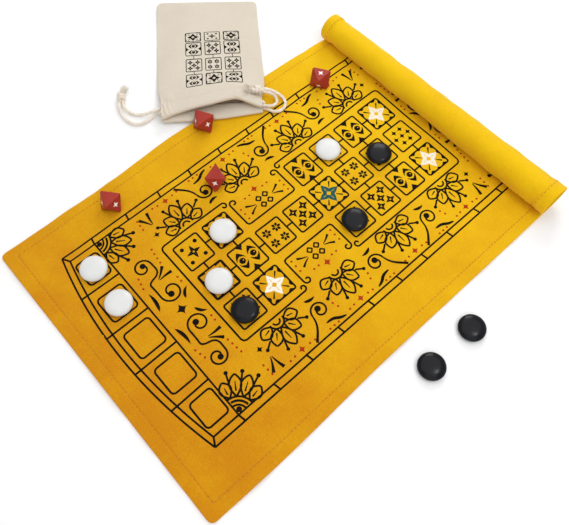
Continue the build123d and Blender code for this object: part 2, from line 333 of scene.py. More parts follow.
def floorFinish(name):
    # plain pale card, with only a slight change in how rough it is
    finish = Finish(name, {"Base Color": viewSettings["floorColour"], "Specular IOR Level": 0.1})
    cloud = finish.noise(finish.place("Object"), 4.0)
    return finish.paint(Roughness=finish.between(cloud, 0.3, 0.7, 0.85, 0.95))


finishes = {
    "mustardCanvas": canvasFinish("mustardCanvas", clothSettings["mustard"]),
    "naturalCanvas": canvasFinish("naturalCanvas", clothSettings["natural"]),
    "blackInk": inkFinish("blackInk", tone(10, 9, 9), tone(30, 24, 15)),
    "redInk": inkFinish("redInk", tone(160, 42, 16), tone(180, 70, 22)),
    "whiteInk": inkFinish("whiteInk", tone(250, 248, 240), tone(240, 228, 196)),
    "tealInk": inkFinish("tealInk", tone(16, 84, 92), tone(40, 92, 84)),
    "whiteStone": stoneFinish("whiteStone", tone(230, 231, 229), tone(222, 223, 221)),
    "blackStone": stoneFinish("blackStone", tone(11, 12, 17), tone(17, 18, 24), 0.22),
    "redDie": stoneFinish("redDie", tone(172, 60, 48), tone(158, 52, 42), 0.12),
    "starPaint": stoneFinish("starPaint", tone(250, 248, 242), tone(240, 236, 228), 0.1),
    "cord": cordFinish("cord", tone(246, 238, 226), tone(224, 210, 190)),
    "mustardThread": cordFinish("mustardThread", tone(214, 142, 12), tone(190, 118, 10)),
    "naturalThread": cordFinish("naturalThread", tone(232, 221, 204), tone(214, 198, 176)),
    "paleFloor": floorFinish("paleFloor"),
}
print("finishes made")


# Meshes from arrays: points are rows of x, y, z in millimetres, faces are rows of four point numbers.
def makePiece(name, points, faces, finish, uv=None, smooth=True):
    corners = faces.ravel().astype(np.int32)
    mesh = bpy.data.meshes.new(name)
    mesh.vertices.add(len(points))
    mesh.vertices.foreach_set("co", (points * mm).astype(np.float32).ravel())
    mesh.loops.add(len(corners))
    mesh.loops.foreach_set("vertex_index", corners)
    mesh.polygons.add(len(faces))
    mesh.polygons.foreach_set("loop_start", np.arange(0, corners.size, 4, dtype=np.int32))
    mesh.polygons.foreach_set("use_smooth", np.full(len(faces), smooth))
    mesh.update(calc_edges=True)
    if uv is not None:
        mesh.uv_layers.new(name="UVMap").data.foreach_set("uv", uv[corners].astype(np.float32).ravel())
    mesh.validate()
    mesh.materials.append(finishes[finish])
    thing = bpy.data.objects.new(name, mesh)
    bpy.context.scene.collection.objects.link(thing)
    return thing


def gridFaces(rows, columns, wrapRows=False, wrapColumns=False):
    # four-sided faces between neighbouring points of a grid, wrapped round where asked
    number = np.arange(rows * columns).reshape(rows, columns)
    if wrapRows:
        number = np.vstack([number, number[:1]])
    if wrapColumns:
        number = np.hstack([number, number[:, :1]])
    parts = [number[:-1, :-1], number[1:, :-1], number[1:, 1:], number[:-1, 1:]]
    return np.stack(parts, -1).reshape(-1, 4)


def shellFaces(rows, columns):
    # a closed sheet: the upper grid, the lower grid after it turned over, and the rim between them
    count = rows * columns
    number = np.arange(count).reshape(rows, columns)
    edge = np.concatenate([number[0, :-1], number[:-1, -1], number[-1, :0:-1], number[:0:-1, 0]])
    after = np.roll(edge, -1)
    upper = gridFaces(rows, columns)
    rim = np.stack([edge, after, after + count, edge + count], -1)
    return np.concatenate([upper, upper[:, ::-1] + count, rim])


def joined(parts):
    # several (points, faces, uv) as one, each one's point numbers moved past those before it
    starts = np.cumsum([0] + [len(part[0]) for part in parts])
    points = np.concatenate([part[0] for part in parts])
    faces = np.concatenate([part[1] + start for part, start in zip(parts, starts)])
    return points, faces, np.concatenate([part[2] for part in parts])


def unit(vectors):
    return vectors / np.maximum(np.linalg.norm(vectors, axis=-1, keepdims=True), 1e-9)


def tube(path, radius, sides, lobes=0, twist=0.0, depth=0.0, steady=up):
    # rings carried along a path and drawn to a point at both ends; a ring may have lobes that turn
    # about the path, as the strands of a laid cord do
    path = np.asarray(path, float)
    forward = unit(np.gradient(path, axis=0))
    aside = unit(np.cross(forward, steady))
    above = np.cross(aside, forward)
    along = np.concatenate([[0], np.cumsum(np.linalg.norm(np.diff(path, axis=0), axis=1))])
    angle = np.linspace(0, 2 * pi, sides, endpoint=False)
    reach = np.broadcast_to(np.asarray(radius, float), len(path))[:, None] * np.ones(sides)
    if lobes:
        reach = reach * (1 - depth + depth * np.abs(np.cos(lobes / 2 * angle - along[:, None] * twist)))
    reach[[0, -1]] *= 0.05
    ring = np.cos(angle)[:, None] * aside[:, None] + np.sin(angle)[:, None] * above[:, None]
    points = path[:, None] + reach[:, :, None] * ring
    faces = gridFaces(len(path), sides, wrapColumns=True)
    fan = np.array([(0, 2 * step - 1, 2 * step, 2 * step + 1) for step in range(1, sides // 2)])
    caps = [fan, fan[:, ::-1] + (len(path) - 1) * sides]
    uv = np.stack(np.broadcast_arrays(along[:, None] * mm, angle / (2 * pi) * 0.009), -1)
    return points.reshape(-1, 3), np.concatenate([faces, *caps]), uv.reshape(-1, 2)


def clothShell(middle, thickness):
    # a sheet's middle surface moved to both sides along its own normal, and closed round its rim
    downRows = np.gradient(middle, axis=0)
    downColumns = np.gradient(middle, axis=1)
    normal = unit(np.cross(downRows, downColumns))
    half = np.broadcast_to(thickness, middle.shape[:2])[..., None] / 2
    points = np.concatenate([middle + normal * half, middle - normal * half])
    return points.reshape(-1, 3), shellFaces(*middle.shape[:2])


def smooth(value, low, high):
    # 0 before low, 1 after high and an even S between them
    share = np.clip((value - low) / (high - low), 0, 1)
    return share * share * (3 - 2 * share)


def hump(value, middle, width):
    # 1 at the middle, and falling away to both sides as a bell does
    return np.exp(-(((value - middle) / width) ** 2))


def curl(value, power):
    # a power that keeps the sign
    return np.sign(value) * np.abs(value) ** power


def towards(angle):
    # the direction on paper that each angle points in
    return np.stack([np.cos(angle), np.sin(angle)], -1)


setStage()
print("stage set")


# The pouch's own frame: across its middle line, along from its mouth, height over the table.
pouchSettings = {
    "mouth": (-8.7, 131.5),
    "turnDegrees": 53.7,
    "mouthHalf": 46.5,
    "lowerCord": 4.1,  # height of the cords in the lower casing
    "upperCord": 8.9,  # and in the upper one, at the sides of the mouth
    "gape": 7.4,  # how far the middle of the mouth stands up
}
pouchTurn = np.radians(pouchSettings["turnDegrees"])
towardsEnd = np.array([np.cos(pouchTurn), np.sin(pouchTurn), 0.0])
towardsRight = np.array([np.sin(pouchTurn), -np.cos(pouchTurn), 0.0])
mouthMiddle = np.array([*pouchSettings["mouth"], 0.0])


def pouchPoint(across, along, height):
    parts = np.broadcast_arrays(across, along, height)
    across, along, height = (part[..., None] for part in parts)
    return mouthMiddle + towardsRight * across + towardsEnd * along + up * height


# Free ends of the drawcords: across, along and height of each point of the route, then the length
cordRoutes = {
    "drawcord_left_front_end": (45.5, [
        (-46.5, 6.9, 8.9), (-50.3, 6.9, 7.55), (-55.0, 6.6, 5.6), (-60.4, 6.2, 3.6), (-66.4, 6.3, 2.0),
        (-72.4, 7.6, 1.7), (-77.8, 10.4, 2.2), (-81.2, 14.2, 3.5), (-82.4, 18.0, 4.3), (-82.4, 21.0, 4.3),
    ]),
    "drawcord_left_back_end": (59.3, [
        (-46.5, 6.9, 4.1), (-49.5, 6.9, 4.1), (-53.3, 4.9, 3.3), (-57.6, 1.4, 2.3), (-62.6, -2.2, 1.7),
        (-68.4, -4.2, 1.6), (-74.2, -3.0, 1.6), (-79.2, 0.8, 1.6), (-82.8, 5.8, 1.8), (-85.4, 11.8, 3.0),
        (-86.2, 17.0, 4.3), (-86.2, 21.0, 4.3),
    ]),
    "drawcord_right_front_end": (36.4, [
        (46.5, 3.1, 8.9), (49.7, 3.1, 7.77), (53.6, 3.4, 6.4), (57.4, 4.9, 5.2), (60.2, 7.9, 4.6),
        (60.8, 11.6, 5.3), (58.9, 14.3, 7.5), (55.0, 15.0, 10.8), (50.68, 14.6, 13.02), (47.6, 14.6, 13.9),
    ]),
    "drawcord_right_back_end": (57.5, [
        (46.5, 3.1, 4.1), (49.3, 3.1, 4.1), (52.8, 1.2, 3.7), (56.9, -1.0, 3.4), (61.6, -0.9, 3.4),
        (65.9, 1.6, 3.4), (68.5, 6.2, 3.4), (68.4, 11.6, 3.4), (65.6, 16.0, 4.0), (61.6, 18.3, 6.2),
        (56.6, 18.9, 9.4), (51.44, 18.4, 12.8), (47.6, 18.4, 13.9),
    ]),
}
cordSettings = {"diameter": 3.0, "lobes": 3, "twist": 0.55, "lobeDepth": 0.16, "sides": 18}


def nurbsLine(places):
    # the points of a NURBS spline whose control points are these places
    curve = bpy.data.curves.new("route", "CURVE")
    curve.dimensions = "3D"
    spline = curve.splines.new("NURBS")
    spline.points.add(len(places) - 1)
    spline.points.foreach_set("co", np.column_stack([places, np.ones(len(places))]).ravel())
    spline.order_u = 3
    spline.use_endpoint_u = True
    spline.resolution_u = 10
    holder = bpy.data.objects.new("route", curve)
    mesh = bpy.data.meshes.new_from_object(holder)
    line = np.zeros(len(mesh.vertices) * 3)
    mesh.vertices.foreach_get("co", line)
    bpy.data.objects.remove(holder)
    bpy.data.curves.remove(curve)
    bpy.data.meshes.remove(mesh)
    return line.reshape(-1, 3)


def laidTube(line, radius, sides):
    # a tube whose lobes turn as a laid cord's strands do
    look = cordSettings
    return tube(line, radius, sides, look["lobes"], look["twist"], look["lobeDepth"])


def laidCord(line):
    return laidTube(line, cordSettings["diameter"] / 2, cordSettings["sides"])


cords = {}
for cordName, (cordLength, route) in cordRoutes.items():
    line = nurbsLine(pouchPoint(*np.array(route).T))
    points, faces, uv = laidCord(line)
    cord = makePiece(cordName + "_laid", points, faces, "cord", uv)
    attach(cord, "pouch")
    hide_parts(cordName)
    cords[cordName] = (cord, cordLength, line)
print("cords laid")


# The mat: one cut sheet, hemmed all round, flat for most of its length and rolled over at its far end
matSettings = {
    "halfLength": 228.5,
    "halfWidth": 137.5,
    "level": 1.6,  # printed face over the table
    "canvas": 0.8,
    "cornerRadius": 4.5,
    "rimRadius": 0.7,
    "hemStep": (10.7, 11.3),  # the cloth is double up to the first and single from the second
    "stitchInset": 9.8,
    "stitchPitch": 3.6,
    "threadRadius": 0.3,
    "grooveDepth": 0.3,  # how far the thread pulls the cloth down
    "grooveWidth": 0.55,
    "spacing": 3.0,
    "rollSpacing": 1.3,  # finer from here on, for the fold and the roll
    "rollSpacingFrom": 118.0,
    "rollStart": (148.1, 140.6),  # where the cloth leaves the table, at the near and the far end
    "rollRadius": (14.2, 12.2),  # of the printed face at these ends
    "tighten": 2.2,  # how much smaller that radius is after a whole turn
    "bendStart": 122.5,  # the cloth turns up between these when the roll is lifted
    "bendEnd": 126.8,
}
swells = (  # soft waves in the cloth: height, length from crest to crest, direction in degrees, shift
    (0.30, 97, 18, 0.3), (0.26, 131, 71, 1.9), (0.20, 63, 128, 4.1),
    (0.14, 41, 43, 2.2), (0.10, 27, 160, 0.8),
)
seats = np.array([
    sum(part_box(node), Vector((0, 0, 0)))[:2] for node in frame["nodes"]
    if "_stone_" in node or (node.startswith("die_") and "marks" not in node)
]) / 2 / mm


def pouchShare(x, y):
    # 1 where the pouch lies on the cloth, fading to 0 round it
    fromMouth = np.stack([x - mouthMiddle[0], y - mouthMiddle[1]], -1)
    along = fromMouth @ towardsEnd[:2]
    across = fromMouth @ towardsRight[:2]
    return smooth(along, -26, -8) * (1 - smooth(np.abs(across), 62, 80))


def swell(x, y, start):
    # the waves, flattened under what lies on the cloth and lifted a little at its free edges
    height = 0
    for tall, length, direction, shift in swells:
        angle = np.radians(direction)
        height = height + tall * np.sin((x * np.cos(angle) + y * np.sin(angle)) * 2 * pi / length + shift)
    edge = np.minimum(matSettings["halfLength"] + x, matSettings["halfWidth"] - np.abs(y))
    free = 1 - smooth(edge, 12, 34)
    height = height * (1 - free) + 1.7 * np.abs(height) * free
    wrinkle = hump(x - 0.1 * y, start - 13, 6) * smooth(y, 20, 120)
    dip = hump(x - 0.12 * y, start - 24, 5) * smooth(y, 40, 120)
    height = height + 1.1 * wrinkle - 0.5 * dip
    still = 1.0
    for seat in seats:
        still = still * smooth(np.hypot(x - seat[0], y - seat[1]), 9, 26)
    return height * still * (1 - pouchShare(x, y)) * (1 - smooth(x, start - 9, start - 1))


def edgeShift(x, y):
    # the cut edges wander by a few millimetres; high powers keep the print inside them almost still
    far = -1.8 + 3.2 * hump(x, -53, 45) - 0.4 * hump(x, -150, 60) - 3.4 * smooth(x, 60, 146)
    near = 0.3 + 2.9 * (1 - smooth(x, -175, -40)) - 0.7 * hump(x, -228, 25)
    side = np.abs(y / matSettings["halfWidth"]) ** 6
    end = np.clip(-x / matSettings["halfLength"], 0, 1) ** 16
    return -(1.9 + 1.0 * y / matSettings["halfWidth"]) * end, np.where(y > 0, far, -near) * side


def rollCreases(y, turn):
    # slow waves that cross on the rolled cloth, and short puckers at the hems of its ends
    slow = 0.30 * np.sin(y / 7.3 + 1.7 * turn) * np.sin(y / 31 + 0.4)
    cross = 0.22 * np.sin(y / 3.9 - 2.6 * turn + 1.0) * np.sin(y / 23 + 2.0)
    pucker = 0.34 * np.sin((y + 5 * turn) / 1.7) * hump(np.abs(y), 124, 7)
    return (slow + cross + pucker) * smooth(turn, 0.4, 1.3)


def clothPoint(x, y, lift):
    # a place on the flat cut cloth and a height over its printed face, as it lies: level and slightly
    # waved, then round a spiral that starts level and tightens as the square of the angle turned
    x, y, lift = (np.asarray(part, float) for part in np.broadcast_arrays(x, y, lift))
    look = matSettings
    share = y / (2 * look["halfWidth"]) + 0.5
    start = look["rollStart"][0] + (look["rollStart"][1] - look["rollStart"][0]) * share
    radius = look["rollRadius"][0] + (look["rollRadius"][1] - look["rollRadius"][0]) * share
    middle = radius + look["canvas"] / 2
    shrink = look["tighten"] / (3 * (2 * pi) ** 2)
    past = np.maximum(x - start, 0)
    turn = past / middle
    for repeat in range(4):
        turn = turn - (middle * turn - shrink * turn**3 - past) / (middle - 3 * shrink * turn**2)
    reach = radius - look["tighten"] * (turn / (2 * pi)) ** 2 - lift + rollCreases(y, turn)
    moveX, moveY = edgeShift(x, y)
    pointX = np.minimum(x, start) + moveX + reach * np.sin(turn)
    pointZ = look["level"] + radius - reach * np.cos(turn) + swell(np.minimum(x, start), y, start)
    return np.stack([pointX, y + moveY, pointZ], -1)


def fineSpacing(half, step, stepFrom=None, fine=None):
    # places from one edge to the other, close together at both edges, and finer past stepFrom
    rim = np.array([0, 0.12, 0.3, 0.6, 1.2, 3, 5, 7.4, 9.0, 9.4, 9.8, 10.2, 10.7, 11.0, 11.3, 12.2])
    inner = half - 14
    if fine is None:
        middle = np.linspace(-inner, inner, int(2 * inner / step) + 1)
    else:
        past = np.linspace(stepFrom, inner, int((inner - stepFrom) / fine) + 1)
        middle = np.concatenate([np.arange(-inner, stepFrom, step), past])
    return np.concatenate([rim - half, middle, (half - rim)[::-1]])


def softCorners(x, y):
    # the square at each corner of the sheet squeezed into a quarter of a disc
    look = matSettings
    radius = look["cornerRadius"]
    coreX, coreY = look["halfLength"] - radius, look["halfWidth"] - radius
    overX, overY = np.maximum(np.abs(x) - coreX, 0) / radius, np.maximum(np.abs(y) - coreY, 0) / radius
    reachX = np.minimum(np.abs(x), coreX) + radius * overX * np.sqrt(1 - overY**2 / 2)
    reachY = np.minimum(np.abs(y), coreY) + radius * overY * np.sqrt(1 - overX**2 / 2)
    return np.sign(x) * reachX, np.sign(y) * reachY


def matSheet():
    # two faces over one grid: they meet in a rim that is half a circle, the stitches lie in a groove,
    # and the hem is twice as thick as the cloth inside it
    look = matSettings
    spacing = look["spacing"]
    x = fineSpacing(look["halfLength"], spacing, look["rollSpacingFrom"], look["rollSpacing"])[:, None]
    y = fineSpacing(look["halfWidth"], spacing)[None, :]
    inset = np.minimum(look["halfLength"] - np.abs(x), look["halfWidth"] - np.abs(y))
    rim = look["rimRadius"]
    rounded = rim - np.sqrt(np.maximum(rim**2 - np.maximum(rim - inset, 0) ** 2, 0))
    groove = look["grooveDepth"] * hump(inset, look["stitchInset"], look["grooveWidth"])
    thick = look["canvas"] * (2 - smooth(inset, *look["hemStep"]))
    flat = np.stack(np.broadcast_arrays(x, y), -1).reshape(-1, 2) * mm
    places = softCorners(x, y)
    face = clothPoint(*places, -rounded - groove)
    back = clothPoint(*places, rounded + groove - thick)
    points = np.concatenate([face, back]).reshape(-1, 3)
    faces = shellFaces(x.size, y.size)
    return makePiece("mat_cloth", points, faces, "mustardCanvas", np.concatenate([flat, flat]))


def acrossFold(thing):
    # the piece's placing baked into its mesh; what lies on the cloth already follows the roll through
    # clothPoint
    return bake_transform(thing)


stitchSettings = {
    "reach": 0.36,  # from a stitch's middle to its end, as a share of the pitch
    "flatness": 0.7,  # its height as a share of its width
}


def stitches(places, turn, pitch, radius, settle):
    # short threads laid end to end: each is a swelling, flattened tube in flat cloth places, which
    # settle carries to the cloth
    share = np.linspace(-1, 1, 6)
    thread = np.column_stack([share * pitch * stitchSettings["reach"], 0 * share, 0 * share])
    points, faces, uv = tube(thread, radius * np.sqrt(1.02 - share**2), 6)
    cosine, sine = np.cos(turn)[:, None], np.sin(turn)[:, None]
    x = places[:, :1] + cosine * points[:, 0] - sine * points[:, 1]
    y = places[:, 1:] + sine * points[:, 0] + cosine * points[:, 1]
    laid = settle(x, y, np.broadcast_to(points[:, 2] * stitchSettings["flatness"], x.shape))
    moved = faces[None] + np.arange(len(places))[:, None, None] * len(points)
    return laid.reshape(-1, 3), moved.reshape(-1, 4), np.tile(uv, (len(places), 1))


def hemStitches():
    # a row all round on the printed face, and one under it on the other face
    look = matSettings
    pitch, radius = look["stitchPitch"], look["threadRadius"]
    inX = look["halfLength"] - look["stitchInset"]
    inY = look["halfWidth"] - look["stitchInset"]
    alongX = np.arange(-inX + pitch / 2, inX, pitch)
    alongY = np.arange(-inY + pitch / 2, inY, pitch)
    places = np.concatenate(
        [np.column_stack([alongX, np.full(alongX.size, side)]) for side in (-inY, inY)]
        + [np.column_stack([np.full(alongY.size, side), alongY]) for side in (-inX, inX)]
    )
    turn = np.repeat([0, pi / 2], [2 * alongX.size, 2 * alongY.size])
    face = stitches(places, turn, pitch, radius, lambda x, y, z: clothPoint(x, y, z - 0.1))
    back = stitches(places, -turn, pitch, radius, lambda x, y, z: clothPoint(x, y, -z - 1.4))
    points, faces, uv = joined([face, (back[0], back[1][:, ::-1], back[2])])
    return makePiece("hem_stitches", points, faces, "mustardThread", uv)


mat = matSheet()
acrossFold(mat)
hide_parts("mat_field", "mat_roll")
hemThread = acrossFold(hemStitches())
print("mat laid and hemmed")


# Printing: every mark is a strip of ink between a left and a right edge, drawn in flat cloth places.
printSettings = {
    "line": 1.6,
    "step": 1.6,  # longest stretch of a strip between two of its places
    "lift": 0.05,
    "layers": 5,  # strips that cross lie at different heights, so that neither flickers through
    "layerStep": 0.012,
    "sink": 0.18,
}


def evenly(path, step):
    # the path with points added so that none lie further apart than step
    path = np.asarray(path, float)
    along = np.concatenate([[0], np.cumsum(np.linalg.norm(np.diff(path, axis=0), axis=1))])
    extra = np.linspace(0, along[-1], int(along[-1] / step) + 2)
    places = np.unique(np.round(np.concatenate([along, extra]), 3))
    return np.column_stack([np.interp(places, along, path[:, number]) for number in (0, 1)])


class Pen:
    def __init__(self, strips, frame=((1, 0, 0), (0, 1, 0)), line=None):
        self.strips = strips
        self.frame = np.array(frame, float)
        self.line = line or printSettings["line"]

    def at(self, x, y, turn=0.0, flipX=1, flipY=1):
        # the same pen on paper that is flipped or stretched, then turned and moved
        cosine, sine = np.cos(turn), np.sin(turn)
        moved = np.array([(cosine * flipX, -sine * flipY, x), (sine * flipX, cosine * flipY, y)])
        both = np.vstack([self.frame, (0, 0, 1)]) @ np.vstack([moved, (0, 0, 1)])
        return Pen(self.strips, both[:2], self.line)

    def strip(self, left, right, colour="black", closed=False):
        # one mark, kept by its colour; on flipped paper its two edges change places
        left, right = (edge @ self.frame[:, :2].T + self.frame[:, 2] for edge in (left, right))
        if np.linalg.det(self.frame[:, :2]) < 0:
            left, right = right, left
        self.strips.setdefault(colour, []).append((left, right, closed))

    def stroke(self, path, width=None, colour="black", closed=False):
        # a line of ink: the path moved to both sides by half its width, which may vary along it
        path = evenly(path, printSettings["step"])
        if closed:
            path = path[:-1]
            forward = unit(np.roll(path, -1, 0) - np.roll(path, 1, 0))
        else:
            forward = unit(np.gradient(path, axis=0))
        aside = np.column_stack([-forward[:, 1], forward[:, 0]])
        share = np.linspace(0, 1, len(path))
        half = np.asarray(width(share) if callable(width) else (width or self.line), float)
        half = np.maximum(np.broadcast_to(half, len(path)), 0.04)[:, None] / 2
        self.strip(path + aside * half, path - aside * half, colour, closed)

    def curve(self, path, width=None):
        # a smooth line through a few places: each stretch is drawn again with its corners cut off
        path = np.asarray(path, float)
        for repeat in range(4):
            quarter = path[:-1] * 0.75 + path[1:] * 0.25
            after = path[:-1] * 0.25 + path[1:] * 0.75
            path = np.vstack([path[:1], np.stack([quarter, after], 1).reshape(-1, 2), path[-1:]])
        self.stroke(path, width)

    def leaf(self, start, end, width, bend=0.0, blunt=0.8):
        # a filled leaf from start to end, widest where the sine of a power of its length is
        share = np.linspace(0, 1, 9)[:, None]
        start, end = np.array(start, float), np.array(end, float)
        line = end - start
        path = start + line * share + np.array([-line[1], line[0]]) * bend * 4 * share * (1 - share)
        self.stroke(path, lambda part: width * np.sin(pi * part**blunt) ** 0.8)

    def petal(self, start, end, width, vein, tip):
        # an outlined leaf with a short vein
        share = np.linspace(0, 1, 17)[:, None]
        start, end = np.array(start, float), np.array(end, float)
        line = end - start
        aside = np.array([-line[1], line[0]]) / np.hypot(*line) * width / 2
        swellOut = np.sin(pi * share**tip) ** 0.85
        for side in (1, -1):
            self.stroke(start + line * share + aside * side * swellOut)
        veinLine = [start + line * 0.25, start + line * (0.25 + vein * 0.7)]
        self.stroke(veinLine, lambda part: 0.9 * self.line * (1 - 0.6 * part))

    def dot(self, x, y, radius, colour="black"):
        # half the dot's height at each place across it is that of a circle
        share = np.sin(np.linspace(-pi / 2, pi / 2, 9))
        path = np.column_stack([x + radius * share, np.full(9, y)])
        half = radius * np.sqrt(np.maximum(1 - share**2, 0.001))[:, None] * (0, 1)
        self.strip(path + half, path - half, colour)

    def star(self, x, y, reach, colour="black", power=0.62):
        # four points with hollow sides: the sum of |x| and |y| to a power under 1 stays the same
        share = curl(np.linspace(-1, 1, 17), 1.7)
        half = reach * np.maximum(1 - np.abs(share) ** power, 0.0001) ** (1 / power)
        path = np.column_stack([reach * share, 0 * share])
        self.at(x, y).strip(path + half[:, None] * (0, 1), path - half[:, None] * (0, 1), colour)

    def arc(self, radius, start, end, width=None):
        # part of a circle round the paper's middle, from one angle to another
        angle = np.linspace(start, end, max(5, int(abs(end - start) * 7)))
        self.stroke(radius * towards(angle), width)

    def box(self, width, height, corner, line=None):
        # a closed outline with round corners
        quarter = np.linspace(0, pi / 2, 6)
        path = []
        for number, (sideX, sideY) in enumerate(((1, 1), (-1, 1), (-1, -1), (1, -1))):
            centre = (sideX * (width / 2 - corner), sideY * (height / 2 - corner))
            path.append(centre + corner * towards(quarter + number * pi / 2))
        path.append(path[0][:1])
        self.stroke(np.concatenate(path), line, closed=True)

    def spiral(self, x, y, radius, start, turns, knob):
        # a coil that may close on a dot: its radius falls evenly with the angle
        angle = np.linspace(0, turns * 2 * pi, 40)
        reach = radius * (1 - 0.72 * angle / angle[-1])
        places = (x, y) + reach[:, None] * towards(start + angle)
        self.stroke(places)
        if knob:
            self.dot(*places[-1], knob)


squareSettings = {"width": 24.4, "height": 26.4, "corner": 1.8, "pitchX": 31.0, "pitchY": 33.4}


def corners(x, y):
    # a place and its three mirror images
    return [(sideX * x, sideY * y) for sideX in (1, -1) for sideY in (1, -1)]


def hollowStar(pen, reach, waist, middle, slit=0.04, colour="black"):
    # four leaf-shaped points round a bare diamond, each of two halves with a slit between them
    outer = [
        (middle / 2,) * 2, (waist * 0.8,) * 2, (waist,) * 2,
        (waist * 0.65 + reach * 0.35, waist * 0.8), (reach, 0.04),
    ]
    along = middle + (reach - middle) * np.array([0, 0.18, 0.4, 0.55, 1.0])
    inner = np.column_stack([along, slit * np.array([0, 1, 1, 0, 0])])
    for turn in range(4):
        for side in (1, -1):
            pen.at(0, 0, turn * pi / 2).at(0, 0, flipY=side).strip(np.array(outer), inner, colour)


def rosette(pen, petal="white"):
    # a star that points at the sides, strokes towards the corners, and a field with lobed dark edges:
    # they are thick near each corner and again at the middle of each side
    halfX, halfY = squareSettings["width"] / 2 - 0.3, squareSettings["height"] / 2 - 0.3
    share = np.linspace(0, 1, 15)[:, None]
    for sideX, sideY in corners(1, 1):
        part = pen.at(0, 0, flipX=sideX, flipY=sideY)
        for first, second, inward in (
            ((halfX - 1, halfY), (0, halfY), (0, -1)), ((halfX, halfY - 1), (halfX, 0), (-1, 0)),
        ):
            edge = np.array(first) + np.subtract(second, first) * share
            toMiddle = max(first[0] - second[0], first[1] - second[1]) * (1 - share)
            nearCorner = 2.2 * np.maximum(1 - np.abs(toMiddle - 7.4) / 3.3, 0)
            nearMiddle = 1.7 * np.maximum(1 - toMiddle / 2.3, 0)
            inner = edge + np.array(inward) * (nearCorner + nearMiddle + 0.15)
            part.strip(*((edge, inner) if inward[0] else (inner, edge)))
        part.stroke([(4.4, 4.7), (8.3, 9.0)], lambda way: 0.7 + 0.8 * way)
    hollowStar(pen, 10.6, 3.5, 2.5, 0.26, petal)


def eyes(pen):
    # a pair of eyes, each of two wedges with hollow sides round a ring of bare cloth and a pupil with a
    # small light in it, and a dark wedge at two sides of the square
    along = np.linspace(1.7, 8.6, 12)
    lid = 4.6 * (1 - (along / 8.7) ** 2)
    hollow = np.minimum(np.sqrt(np.maximum(4.3**2 - along**2, 0)), lid - 0.05)
    around = towards(np.linspace(0, 2 * pi, 25)[:-1])
    for side in (1, -1):
        part = pen.at(5.8 * side, 0)
        for flipX, flipY in corners(1, 1):
            wedge = part.at(0, 0, flipX=flipX, flipY=flipY)
            wedge.strip(np.column_stack([hollow, along]), np.column_stack([lid, along]))
        part.strip(0.55 * around + (1.1, 0.2), 2.8 * around, closed=True)
    for side in (1, -1):
        edge = squareSettings["height"] / 2
        pen.stroke([(0, side * edge), (0, side * (edge - 5.4))], lambda share: 8.4 * (1 - share) ** 1.2)


def flowers(pen):
    # four flowers, each of six leaves round a bare middle
    for x, y in corners(5.3, 5.8):
        for petal in range(6):
            part = pen.at(x, y, petal * pi / 3)
            part.leaf((0.7, 0), (4.5, 0), 2.4, blunt=1.1)


def stars(pen):
    for x, y in corners(5.7, 6.3) + [(0, 0)]:
        hollowStar(pen.at(x, y), 5.0, 1.5, 1.0)


def blossom(pen):
    hollowStar(pen, 6.8, 1.7, 1.2)
    for x, y in corners(6.8, 7.4):
        pen.dot(x, y, 1.8)


def crosses(pen):
    pen.star(0, 0, 3.6, power=0.56)
    for step in range(6):
        pen.star(7.4 * np.cos(step * pi / 3), 7.9 * np.sin(step * pi / 3), 3.6, power=0.56)


def plainRosette(pen):
    # one colour of ink: a star with a bare middle, and strokes towards the corners
    hollowStar(pen, 10.0, 3.6, 3.0)
    for sideX, sideY in corners(1, 1):
        part = pen.at(0, 0, flipX=sideX, flipY=sideY)
        part.stroke([(4.8, 5.2), (8.0, 8.7)], 1.0)
        bracket = [(11.4, 5.2), (11.4, 12.4), (5.2, 12.4)]
        part.stroke(bracket, lambda share: 1.0 + 1.1 * np.abs(2 * share - 1))


squareMotifs = {
    "white rosette": rosette,
    "bare rosette": plainRosette,
    "teal rosette": lambda pen: rosette(pen, "teal"),
    "eyes": eyes, "flowers": flowers, "stars": stars, "blossom": blossom, "crosses": crosses,
}
boardSquares = {  # column and row of each square of the track
    (1, 1): "blossom", (1, 2): "bare rosette", (1, 3): "stars", (2, 1): "white rosette", (2, 2): "eyes",
    (2, 3): "white rosette", (3, 2): "flowers", (4, 2): "stars", (5, 1): "eyes", (5, 2): "teal rosette",
    (5, 3): "flowers", (6, 1): "stars", (6, 2): "flowers", (6, 3): "stars", (7, 1): "eyes", (7, 2): "blossom",
    (7, 3): "eyes", (8, 1): "white rosette", (8, 2): "crosses", (8, 3): "white rosette",
}


def drawSquare(pen, motif):
    pen.box(squareSettings["width"], squareSettings["height"], squareSettings["corner"])
    squareMotifs[motif](pen)


def drawTrack(pen):
    look = squareSettings
    for (column, row), motif in boardSquares.items():
        x, y = (column - 4.5) * look["pitchX"], (2 - row) * look["pitchY"]
        drawSquare(pen.at(x, y), motif)
        if (column + 1, row) in boardSquares:
            pen.stroke([(x + look["width"] / 2, y), (x + look["pitchX"] - look["width"] / 2, y)])
        if (column, row + 1) in boardSquares:
            pen.stroke([(x, y - look["height"] / 2), (x, y - look["pitchY"] + look["height"] / 2)])


borderSettings = {
    "outer": 100.4, "inner": 94.0,
    "outerBow": (-206.5, 12.3),  # middle of a bowed end, and how far its corners come in
    "innerBow": (-201.0, 10.5),
    "line": 1.5,
    "innerEnd": -166.5,
    "dividers": (58.3, 18.6, -18.6, -58.3),
    "joints": (-166, -131, -97, -63, -29, 4, 34, 66, 101, 131, 166),
    "waiting": (  # place and size of each waiting square
        (-179.9, 75.6, 20.8, 23.4), (-182.3, 38.0, 23.6, 25.0), (-183.3, 0.0, 24.4, 25.4),
        (-182.3, -38.0, 23.6, 25.0), (-179.9, -75.6, 20.8, 23.4),
    ),
}


def bow(which, y):
    # a parabola over the board's width
    middle, drop = borderSettings[which]
    edge = borderSettings["outer" if which == "outerBow" else "inner"]
    return middle + drop * (y / edge) ** 2


